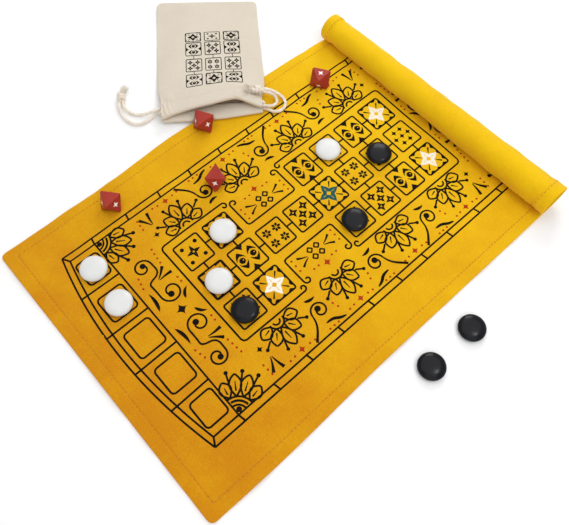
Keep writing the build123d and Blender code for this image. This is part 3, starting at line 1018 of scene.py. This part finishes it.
def drawBorder(pen):
    # two outlines with bowed ends, bars between them, and the waiting squares at both ends
    look = borderSettings
    bows = (("outerBow", look["outer"]), ("innerBow", look["inner"]))
    for side in (1, -1):
        part = pen.at(0, 0, flipY=side)
        for name, edge in bows:
            end = bow(name, edge)
            part.stroke([(end, edge), (-end, edge)], look["line"])
        for x in look["joints"]:
            part.stroke([(x - 0.6, look["inner"]), (x + 0.6, look["outer"])])
    for side in (1, -1):
        part = pen.at(0, 0, flipX=side)
        for name, edge in bows:
            y = np.linspace(-edge, edge, 40)
            part.stroke(np.column_stack([bow(name, y), y]), look["line"])
        part.stroke([(look["innerEnd"], look["inner"]), (look["innerEnd"], -look["inner"])], look["line"])
        for y in look["dividers"]:
            part.stroke([(bow("outerBow", y), y * 1.01), (look["innerEnd"], y)])
        for y in (1, -1):
            part.stroke([(bow(name, edge), y * edge) for name, edge in bows])
        for x, y, width, height in look["waiting"]:
            part.at(x, y).box(width, height, 3.2)


def vStrokes(pen, length, spread=0.38, thick=3.2):
    # two brush strokes that start thin from one point, thicken evenly and end round
    thin = 0.35

    def brush(share):
        roundEnd = np.sqrt(1 - (np.maximum(share - 0.88, 0) / 0.125) ** 2)
        return (thin + (thick - thin) * share) * roundEnd

    for side in (1, -1):
        start = np.array([0.0, 0.5 * side])
        end = length * towards(side * spread)
        pen.curve([start, (start + end) / 2 - (0, 0.5 * side), end], brush)


def redDots(pen, count, pitch=4.8):
    for number in range(count):
        pen.dot(number * pitch, 0, 0.95, "red")


def palmette(pen, size):
    # a fan of five outlined petals over a half ring, with a bud between each two
    pen.arc(5.6 * size, 0, pi)
    pen.arc(2.8 * size, 0, pi)
    for number, angle in enumerate(np.radians([15, 52.5, 90, 127.5, 165])):
        reach = (16.5, 18.0, 21.5, 18.0, 16.5)[number] * size
        way = towards(angle)
        pen.petal(way * 5.6 * size, way * reach, 8.4 * size, 0.6, 1.1)
    for angle in np.radians([34, 71.5, 108.5, 146]):
        way = towards(angle)
        pen.stroke([way * 15.0 * size, way * 20.5 * size])
        pen.dot(*way * 21.5 * size, 1.55)


def drawVine(pen):
    # the long band: palmettes that stand on the squares' outline, and between them a scroll that winds
    # out of the border towards alternate sides
    for x in (-97, -32.5, 32, 97):
        part = pen.at(x, 57.3)
        palmette(part, 1.16)
        part.star(0, 31.0, 3.6, "red")
        for side in (1, -1):
            redDots(part.at(side * 8.0, 31.5, 0.12 if side > 0 else pi - 0.12), 2, 5.0)
    for x, side in ((-64.5, 1), (-0.5, -1), (64.5, 1)):
        part = pen.at(x, 0, flipX=side)
        stem = [(-20.0, 92.5), (-12.0, 84.5), (-9.0, 79.0), (-8.0, 74.0)]
        part.curve(stem, lambda share: 2.3 - 1.15 * share)
        part.spiral(0, 74.0, 8.0, pi, 1.2, 2.7)
        shoot = [(13.5, 91.0), (8.0, 89.5), (3.5, 86.0), (-3.5, 85.5)]
        part.curve(shoot, lambda share: 0.4 + 2.2 * np.sin(pi * share) ** 0.8)
        part.leaf((-5.5, 60.0), (5.0, 62.0), 2.6, 0.14)
        redDots(part.at(-4.5, 91.0, 0.0), 3, 4.6)
        redDots(part.at(11.8, 76.5, 1.25), 2, 5.0)
    for side in (1, -1):
        part = pen.at(side * 121.0, 0, flipX=-side)
        vStrokes(part.at(2.0, 76.5, 1.75), 13.0)
        part.star(-1.0, 66.5, 3.2)
        redDots(part.at(-7.0, 78.0, 1.5), 3, 4.8)


def drawNotch(pen):
    # the space beside the two single squares: its outline ends in coils, with small marks in it
    left, right, low, high = -57.5, -4.0, 22.3, 47.5
    for side, edge in ((1, right), (-1, left)):
        part = pen.at(edge, 0, flipX=side)
        part.stroke([(-2.4, low), (-0.7, low + 0.7), (0, low + 2.4), (0, high)])
        part.spiral(-3.6, high, 3.6, 0.0, 0.85, 0)
        redDots(part.at(-4.4, 27.0, pi / 2), 3, 5.6)
    pen.stroke([(left + 2.4, low), (right - 2.4, low)])
    middle = (left + right) / 2
    for x in (-1, 1):
        for y in (-1, 1):
            pen.at(middle + x * 3.7, 33.0 + y * 3.7, pi / 4).box(3.8, 3.8, 0.4, 1.4)
    pen.star(middle, 47.0, 4.0, "red")
    for side in (1, -1):
        part = pen.at(middle, 0, flipX=side)
        vStrokes(part.at(9.0, 33.0), 10.0, 0.5, 2.4)
        redDots(part.at(7.5, 44.5), 2, 5.0)


def drawFrameLine(pen):
    # the outline round each block of squares, with coils where it opens to the notch
    for left, right, far in ((-127.6, -62.0, -1), (0.5, 128.0, 1)):
        inner, outer = (right, left) if far < 0 else (left, right)
        part = pen.at(outer, 0, flipX=-far)
        length = abs(outer - inner)
        part.stroke([(0, 0), (0, 50.6), (1.0, 53.0), (3.4, 54.0), (length, 54.0)])
        part.spiral(length, 50.8, 3.2, pi / 2, -0.8, 0)


def drawEndBand(pen):
    # between the waiting squares and the track: two tall S scrolls that face a star, under quarter suns
    pen.star(-147.0, 0, 5.4)
    for side in (1, -1):
        part = pen.at(-147.0, 0, flipY=side)
        part.spiral(3.2, 18.0, 9.6, pi, 1.15, 2.7)
        part.curve([(-6.4, 18.0), (-6.4, 28.0), (-7.0, 34.5), (5.8, 37.0), (5.4, 49.0)])
        part.spiral(-2.8, 49.0, 8.2, 0.0, 1.15, 2.5)
        part.leaf((-14.6, 9.5), (-12.6, 28.0), 3.0, -0.08)
        part.leaf((8.5, 5.0), (15.6, 13.5), 2.6, 0.14)
        vStrokes(part.at(1.5, 32.0, 0.36), 12.5)
        redDots(part.at(-13.0, 34.0, 1.35), 3, 4.8)
        redDots(part.at(11.5, 44.0, 1.45), 4, 4.8)
        redDots(part.at(14.5, 19.5, 1.6), 2, 4.8)
    for side in (1, -1):
        part = pen.at(-166.5, 94.0 * side, flipY=-side)
        part.arc(7.4, 0, pi / 2)
        part.arc(13.6, 0, pi / 2)
        part.arc(10.5, 0.12, pi / 2 - 0.12, 1.8)
        for number in range(4):
            way = towards((number + 0.5) * pi / 8)
            part.petal(way * 13.6, way * (31.0 if number in (1, 2) else 27.0), 9.4, 0.62, 1.15)
        for angle in np.radians([22.5, 45, 67.5]):
            way = towards(angle)
            part.stroke([way * 24.5, way * 31.5])
            part.dot(*way * 33.0, 1.7)
        part.dot(2.9, 2.9, 2.2)


def inkPieces(strips, settle, name):
    # each colour's strips as one thin mesh: four rails carried to the cloth, its ends closed
    look = printSettings
    made = []
    for colour, marks in strips.items():
        parts = []
        for number, (left, right, closed) in enumerate(marks):
            high, low = look["lift"] + look["layerStep"] * (number % look["layers"]), -look["sink"]
            rails = [(left, high), (left, low), (right, low), (right, high)]
            points = np.stack([settle(*edge.T, height) for edge, height in rails], 1)
            faces = gridFaces(len(left), 4, wrapRows=closed, wrapColumns=True)
            if not closed:
                last = (len(left) - 1) * 4
                faces = np.concatenate([faces, [[0, 1, 2, 3], [last + 3, last + 2, last + 1, last]]])
            parts.append((points.reshape(-1, 3), faces, np.zeros((4 * len(left), 2))))
        points, faces, uv = joined(parts)
        made.append(makePiece(f"{name}_{colour}_ink", points, faces, colour + "Ink", smooth=False))
    return made


boardStrips = {}
pen = Pen(boardStrips)
drawTrack(pen)
drawBorder(pen)
for flip in (1, -1):
    drawVine(pen.at(0, 0, flipY=flip))
    drawNotch(pen.at(0, 0, flipY=flip))
    drawFrameLine(pen.at(0, 0, flipY=flip))
    drawEndBand(pen.at(0, 0, flipX=flip))
for ink in inkPieces(boardStrips, clothPoint, "board"):
    acrossFold(ink)
print("board printed")


# Stones: a lens that is a little steeper near its edge
stoneSettings = {"sides": 72, "rings": 34, "fullness": 2.35, "equator": 0.44}


def lensStone(low, high):
    # radius and height follow a superellipse, with the widest line under the middle
    radius = (high[0] - low[0]) / 2
    tall = high[2] - low[2]
    angle = np.linspace(-pi / 2, pi / 2, stoneSettings["rings"])
    power = 2 / stoneSettings["fullness"]
    belly = stoneSettings["equator"] * tall
    reach = radius * np.abs(np.cos(angle)) ** power
    height = low[2] + belly + curl(np.sin(angle), power) * np.where(angle > 0, tall - belly, belly)
    middle = (low + high) / 2
    path = np.column_stack([np.full(angle.size, middle[0]), np.full(angle.size, middle[1]), height])
    return tube(path, reach, stoneSettings["sides"], steady=(1.0, 0, 0))


for colour in ("white", "black"):
    for number in range(1, 6):
        node = f"{colour}_stone_{number}"
        low, high = (np.array(corner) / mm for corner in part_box(node))
        points, faces, uv = lensStone(low, high)
        stone = makePiece(node + "_polished", points, faces, colour + "Stone", uv)
        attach(stone, node + "_body")
        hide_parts(node)
for number in range(1, 5):
    for node, finish in ((f"die_{number}", "redDie"), (f"die_{number}_star_marks", "starPaint")):
        frame["nodes"][node].data.materials.clear()
        frame["nodes"][node].data.materials.append(finishes[finish])
print("stones and dice finished")


# The pouch: a back and a front of canvas, each folded back at the mouth into a tunnel for two cords
bagSettings = {
    "loopHeight": 1.9,  # from a tunnel's middle to its cloth's middle
    "fullness": 3.0,  # roundness of a tunnel: 2 is an ellipse, more is squarer
    "tunnelEnd": 11.1,
    "canvas": 0.7,
    "stitchesAt": 11.95,
    "stitchesHalf": 45.0,  # from the middle of the row of stitches to its end
    "stitchPitch": 3.0,
    "threadRadius": 0.26,
    "threadHeight": 0.37,  # of a thread's middle over the cloth's middle
    "inkHeight": 0.36,
    "bodyStart": 12.0,
    "bodyHalf": 50.4,
    "end": 143.2,
    "endSlant": 0.045,
    "cornerRadius": 5.5,
    "seam": 1.5,  # height of the side seams over what the pouch lies on
    "floor": 1.75,
    "tableDrop": 1.5,  # how far the closed end sags beside the mat
    "flapAt": 22.0,  # where the mouth's upper edge folds down towards its right end
}


def mouthRise(across):
    # the upper tunnel stands up as a parabola that leans to its right end, and less past the fold
    share = across / pouchSettings["mouthHalf"]
    fold = 1 - 0.4 * smooth(across, bagSettings["flapAt"] - 1, bagSettings["flapAt"] + 12)
    return pouchSettings["upperCord"] + pouchSettings["gape"] * (1 - share**2) * (1 + 0.9 * share) * fold


def mouthEdge(across, front):
    # how far from the mouth's middle each layer's folded edge lies, along the pouch
    if front:
        return np.minimum(0.25 + 0.083 * across, 0.7) - 1.8 * (1 - smooth(across, -46, -34))
    dieGap = smooth(across, -18.5, -15) * (1 - smooth(across, -2, 1.5))
    return -5.6 + 4.2 * dieGap + 0.35 * np.sin(across / 9) + 4.6 * smooth(across, 6, 50)


def mouthPull(across, along):
    # the front is drawn back from the mouth, most where it opens widest, and not at its two sides
    drawn = 2.0 * smooth(across, -45, -20) + 3.6 * smooth(across, 0, 25) - 5.6 * smooth(across, 26, 46)
    return drawn * (1 - smooth(along, 12, 27))


def restLevel(across, along):
    # the mat under the pouch, or the table beside it, eased over the mat's edge
    y = pouchSettings["mouth"][1] - across * np.cos(pouchTurn) + along * np.sin(pouchTurn)
    drop = smooth(y, 141, 158) * smooth(along, 15, 42)
    return bagSettings["floor"] - bagSettings["tableDrop"] * drop


def bagHalfWidth(along):
    # wider from the mouth to the body, with round corners at the closed end
    look = bagSettings
    past = np.clip((along - look["end"] + look["cornerRadius"]) / look["cornerRadius"], 0, 1)
    widening = (look["bodyHalf"] - pouchSettings["mouthHalf"]) * smooth(along, 10, 34)
    return pouchSettings["mouthHalf"] + widening - look["cornerRadius"] * (1 - np.sqrt(1 - past**2))


def bagHeight(across, along, front):
    # the body: a low arch from seam to seam, closed at its sides by a superellipse that is square near
    # the mouth and rounder further on, and at its end by another
    look = bagSettings
    share = np.clip(np.abs(across) / bagHalfWidth(along), 0, 1)
    rest = restLevel(across, along)
    end = np.clip((along - look["end"] + 9) / 9, 0, 1)
    closing = (1 - end**2.6) ** (1 / 2.6)
    if not front:
        return rest + 0.45 + (look["seam"] - 0.85) * np.maximum(smooth(share, 0.9, 1), 1 - closing)
    seam = rest + look["seam"] + 0.35
    lean = 1 + 0.9 * (1 - smooth(along, 15, 60)) * across / pouchSettings["mouthHalf"]
    arch = (1 - share**2) * lean * (6.4 - 2.6 * smooth(along, 20, 70) - 2.4 * smooth(along, 60, 135))
    shoulder = 9.0 - 4.6 * smooth(along, 8, 64) - 0.7 * smooth(along, 60, 140) + rest - look["floor"]
    fold = -0.3 * arch * (1 - smooth(along, 12, 45)) * smooth(across, 20, 34)
    ripple = 0.34 * np.sin(along / 13 + across / 21) + 0.26 * np.sin(across / 8.5 - along / 30 + 1)
    pull = 0.7 * np.sin((across + 0.55 * along) / 2.6) * hump(along, 14, 12)
    slack = shoulder + arch + fold + ripple * smooth(along, 14, 40) + pull * (1 - smooth(across, -44, -30))
    power = 8 - 5 * smooth(along, 20, 90)
    skirt = (1 - share**power) ** (1 / power)
    sewn = seam + (slack - seam) * skirt * closing
    return slack + (sewn - slack) * smooth(along, 12.5, 26)


def bagSheet(front):
    # each layer from its hem round the tunnel to the closed end: (across, along, height) of its middle
    look = bagSettings
    share = np.sin(np.linspace(-pi / 2, pi / 2, 84))[None, :]
    turn = np.linspace(-0.22, -2 * pi + 0.3, 34)[:, None]
    across = share * pouchSettings["mouthHalf"] * np.ones_like(turn)
    edge = mouthEdge(across, front)
    half = (look["tunnelEnd"] - edge) / 2
    power = 2 / look["fullness"]
    loopAlong = edge + half + half * curl(np.cos(turn), power)
    side = 1 if front else -1
    middle = mouthRise(across) if front else np.full_like(across, pouchSettings["lowerCord"])
    pleats = 0.9 * (1 + np.sin(across / 0.62 + loopAlong * 0.35)) * (1 - smooth(across, -43, -31))
    flapAt = look["flapAt"]
    flap = smooth(across, flapAt - 0.8, flapAt) * (1 - smooth(across, flapAt, flapAt + 6))
    outside = np.where(np.sin(turn) > 0, np.sin(turn), 0)
    loopHeight = look["loopHeight"] * curl(np.sin(turn), power) + outside * (pleats + 1.4 * flap) * front
    loopHeight = middle + side * loopHeight
    tailAlong = np.array([13.2, 12.2])[:, None] * np.ones_like(share)
    tailAcross = across[:2]
    tail = np.stack([tailAcross, tailAlong, bagHeight(tailAcross, tailAlong, front) - side * 0.8], -1)
    last = look["end"] - look["endSlant"] * share * look["bodyHalf"]
    reach = np.concatenate([
        [0.0, 0.006, 0.014, 0.025, 0.04], np.linspace(0.06, 0.93, 56),
        [0.945, 0.96, 0.972, 0.982, 0.99, 0.996, 1.0],
    ])[:, None]
    start = look["bodyStart"]
    bodyAlong = start + (look["end"] - start) * reach * np.ones_like(share)
    bodyAcross = share * bagHalfWidth(bodyAlong)
    bodyHeight = bagHeight(bodyAcross, bodyAlong, front)
    bodyAlong = start + (last - start) * reach
    body = np.stack([bodyAcross, bodyAlong, bodyHeight], -1)
    places = np.concatenate([tail, np.stack([across, loopAlong, loopHeight], -1), body])
    places[..., 1] += front * mouthPull(places[..., 0], places[..., 1])
    return places


def bagPiece(name, front):
    # the layer's cloth, with its own flat places for the weave: along is the length up to each row
    places = bagSheet(front)
    points, faces = clothShell(pouchPoint(*np.moveaxis(places, -1, 0)), bagSettings["canvas"])
    steps = np.linalg.norm(np.diff(places[:, places.shape[1] // 2], axis=0), axis=1)
    along = np.concatenate([[0], np.cumsum(steps)])
    flat = np.stack(np.broadcast_arrays(places[..., 0], along[:, None]), -1).reshape(-1, 2) * mm
    return makePiece(name, points, faces, "naturalCanvas", np.concatenate([flat, flat]))


def casingStitches():
    # one row of stitches that closes each tunnel, seen from above on the front and from below on the back
    look = bagSettings
    pitch, radius, lift = look["stitchPitch"], look["threadRadius"], look["threadHeight"]
    across = np.arange(-look["stitchesHalf"], look["stitchesHalf"] + pitch / 2, pitch)
    places = np.column_stack([across, np.full(across.size, look["stitchesAt"])])
    straight = np.zeros(across.size)

    def above(v, u, z):
        return pouchPoint(v, u + mouthPull(v, u), bagHeight(v, u, True) + lift + z)

    def below(v, u, z):
        return pouchPoint(v, u, bagHeight(v, u, False) - lift - z)

    top = stitches(places, straight, pitch, radius, above)
    low = stitches(places, straight, pitch, radius, below)
    points, faces, uv = joined([top, (low[0], low[1][:, ::-1], low[2])])
    return makePiece("casing_stitches", points, faces, "naturalThread", uv)


for name, front, nodes in (
    ("pouch_front_cloth", True, ("pouch_front_panel", "pouch_front_casing")),
    ("pouch_back_cloth", False, ("pouch_back_panel", "pouch_back_casing")),
):
    layer = bagPiece(name, front)
    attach(layer, "pouch")
    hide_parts(*nodes)
casingThread = casingStitches()
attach(casingThread, "pouch")

# The pouch's print: twelve of the mat's squares, smaller, in three columns
bagPrint = {
    "columns": (-15.1, 3.6, 22.4),
    "rows": ((93.9, 11.4), (78.2, 16.4), (56.9, 16.6), (35.9, 16.4)),  # place along the pouch, and length
    "width": 15.0,
    "line": 1.35,
    "joint": 0.6,  # width of the lines between the squares
    "motifs": (
        ("bare rosette", "blossom", "bare rosette"), ("eyes", "stars", "eyes"),
        ("stars", "flowers", "stars"), ("eyes", "bare rosette", "eyes"),
    ),
}


def drawBag(pen):
    look = bagPrint
    for (along, length), motifs in zip(look["rows"], look["motifs"]):
        for across, motif in zip(look["columns"], motifs):
            stretchX, stretchY = length / squareSettings["width"], look["width"] / squareSettings["height"]
            drawSquare(pen.at(across, along, pi / 2, stretchX, stretchY), motif)
    ends = [(along - length / 2, along + length / 2) for along, length in look["rows"]]
    for across in look["columns"]:
        for (low, high), (nextLow, nextHigh) in zip(ends, ends[1:]):
            pen.stroke([(across, low), (across, nextHigh)], look["joint"])


def bagInkPoint(across, along, lift):
    # a place on the front's outer face, and a height over it
    return pouchPoint(across, along, bagHeight(across, along, True) + bagSettings["inkHeight"] + lift)


bagStrips = {}
drawBag(Pen(bagStrips, line=bagPrint["line"]))
for ink in inkPieces(bagStrips, bagInkPoint, "pouch"):
    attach(ink, "pouch")
print("pouch sewn and printed")


# The cords in the tunnels: over the mouth, down past its far end and back underneath
insideSettings = {"left": (1, 6.9), "right": (-1, 3.1), "turnRadius": 2.4, "turnAt": 45.9}


def insideCord(side, along):
    # over in the upper tunnel as its cloth rises, half a circle down, and straight back in the lower one
    look = insideSettings
    over = np.linspace(-pouchSettings["mouthHalf"], look["turnAt"], 60)
    angle = np.linspace(pi / 2, -pi / 2, 12)[1:-1]
    middle = (pouchSettings["upperCord"] + pouchSettings["lowerCord"]) / 2
    back = np.linspace(look["turnAt"], -pouchSettings["mouthHalf"], 40)
    across = np.concatenate([over, look["turnAt"] + look["turnRadius"] * np.cos(angle), back])
    excess = mouthRise(side * look["turnAt"]) - pouchSettings["upperCord"]
    risen = mouthRise(side * over) - excess * smooth(over, 30, look["turnAt"])
    turned = middle + look["turnRadius"] * np.sin(angle)
    height = np.concatenate([risen, turned, np.full(back.size, pouchSettings["lowerCord"])])
    pull = np.where(np.arange(across.size) < over.size, mouthPull(side * across, along), 0)
    return pouchPoint(side * across, along + pull, height)


for name, (side, along) in (("left", insideSettings["left"]), ("right", insideSettings["right"])):
    points, faces, uv = laidCord(insideCord(side, along))
    cord = makePiece(f"drawcord_{name}_inside_laid", points, faces, "cord", uv)
    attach(cord, "pouch")
    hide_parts(f"drawcord_{name}_inside")

# The knots: the two ends of each cord wound round one another, with the strands frayed out behind
knotSettings = {
    "left": ((-84.3, 21.0, 4.3), (0.0, 1.0, 0.0)),  # start and direction: across, along, height
    "right": ((47.6, 16.5, 13.9), (-np.cos(np.radians(16)), 0.0, np.sin(np.radians(16)))),
    "length": 10.5,
    "wraps": 2.6,
    "wrapRadius": 2.6,
    "cordRadius": 1.65,
    "innerRadius": 1.35,  # of the two cords inside the wraps
    "tassel": 7.6,
    "spread": 4.6,
    "strands": 64,
    "strandRadius": 0.24,
    "lean": {"left": 3.4, "right": 0.0},  # how far the strands fall to the right
}


def knotPiece(name, start, direction, seed):
    # a helix of cord round two straight ones, then strands that spread as a power of their length
    look = knotSettings
    start, direction = np.array(start), np.array(direction)
    aside = unit(np.cross(direction, (0.35, 0.25, 0.9)))
    above = np.cross(direction, aside)

    def carried(along, reach, angle):
        outwards = np.cos(angle)[..., None] * aside + np.sin(angle)[..., None] * above
        places = start + along[..., None] * direction + reach[..., None] * outwards
        return pouchPoint(places[..., 0], places[..., 1], places[..., 2])

    angle = np.linspace(0, look["wraps"] * 2 * pi, 70)
    along = 1.3 + (look["length"] - 2.9) * angle / angle[-1]
    wraps = carried(along, np.full(angle.size, look["wrapRadius"]), angle)
    parts = [laidTube(wraps, look["cordRadius"], 14)]
    for shift in (0, pi):
        way = np.linspace(-1.5, look["length"] + 0.6, 16)
        narrowing = 1.9 - 0.9 * smooth(way, -1.5, 1.5)
        inner = carried(way, narrowing, np.full(way.size, shift + 0.4))
        parts.append(laidTube(inner, look["innerRadius"], 12))
    chance = np.random.default_rng(seed)
    for strand in range(look["strands"]):
        way = np.linspace(0, 1, 7)
        begin = 1.9 * np.sqrt(chance.random())
        spread = begin + (look["spread"] * (0.5 + 0.5 * chance.random()) - begin) * way**1.4
        wander = chance.random() * 2 * pi + way * chance.normal(0, 0.5)
        reach = look["tassel"] * (0.62 + 0.38 * chance.random())
        places = carried(look["length"] - 1.2 + (reach + 1.2) * way, spread, wander)
        places = places + towardsRight * (look["lean"][name.split("_")[1]] * way**1.5)[:, None]
        parts.append(tube(places, look["strandRadius"] * (1 - 0.35 * way), 6))
    points, faces, uv = joined(parts)
    return makePiece(name + "_tied", points, faces, "cord", uv)


for number, side in enumerate(("left", "right")):
    knot = knotPiece("knot_" + side, *knotSettings[side], seed=number + 3)
    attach(knot, "pouch")
    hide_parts("knot_" + side)
for cordName, (cord, cordLength, line) in cords.items():
    side = "left" if "_left_" in cordName else "right"
print("cords threaded and knotted")

floor = makePiece(
    "floor", np.array([(-1, -1, 0), (1, -1, 0), (1, 1, 0), (-1, 1, 0)]) * viewSettings["floorSize"] / 2 / mm,
    np.arange(4)[None], "paleFloor",
)
floor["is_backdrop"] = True

low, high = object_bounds()
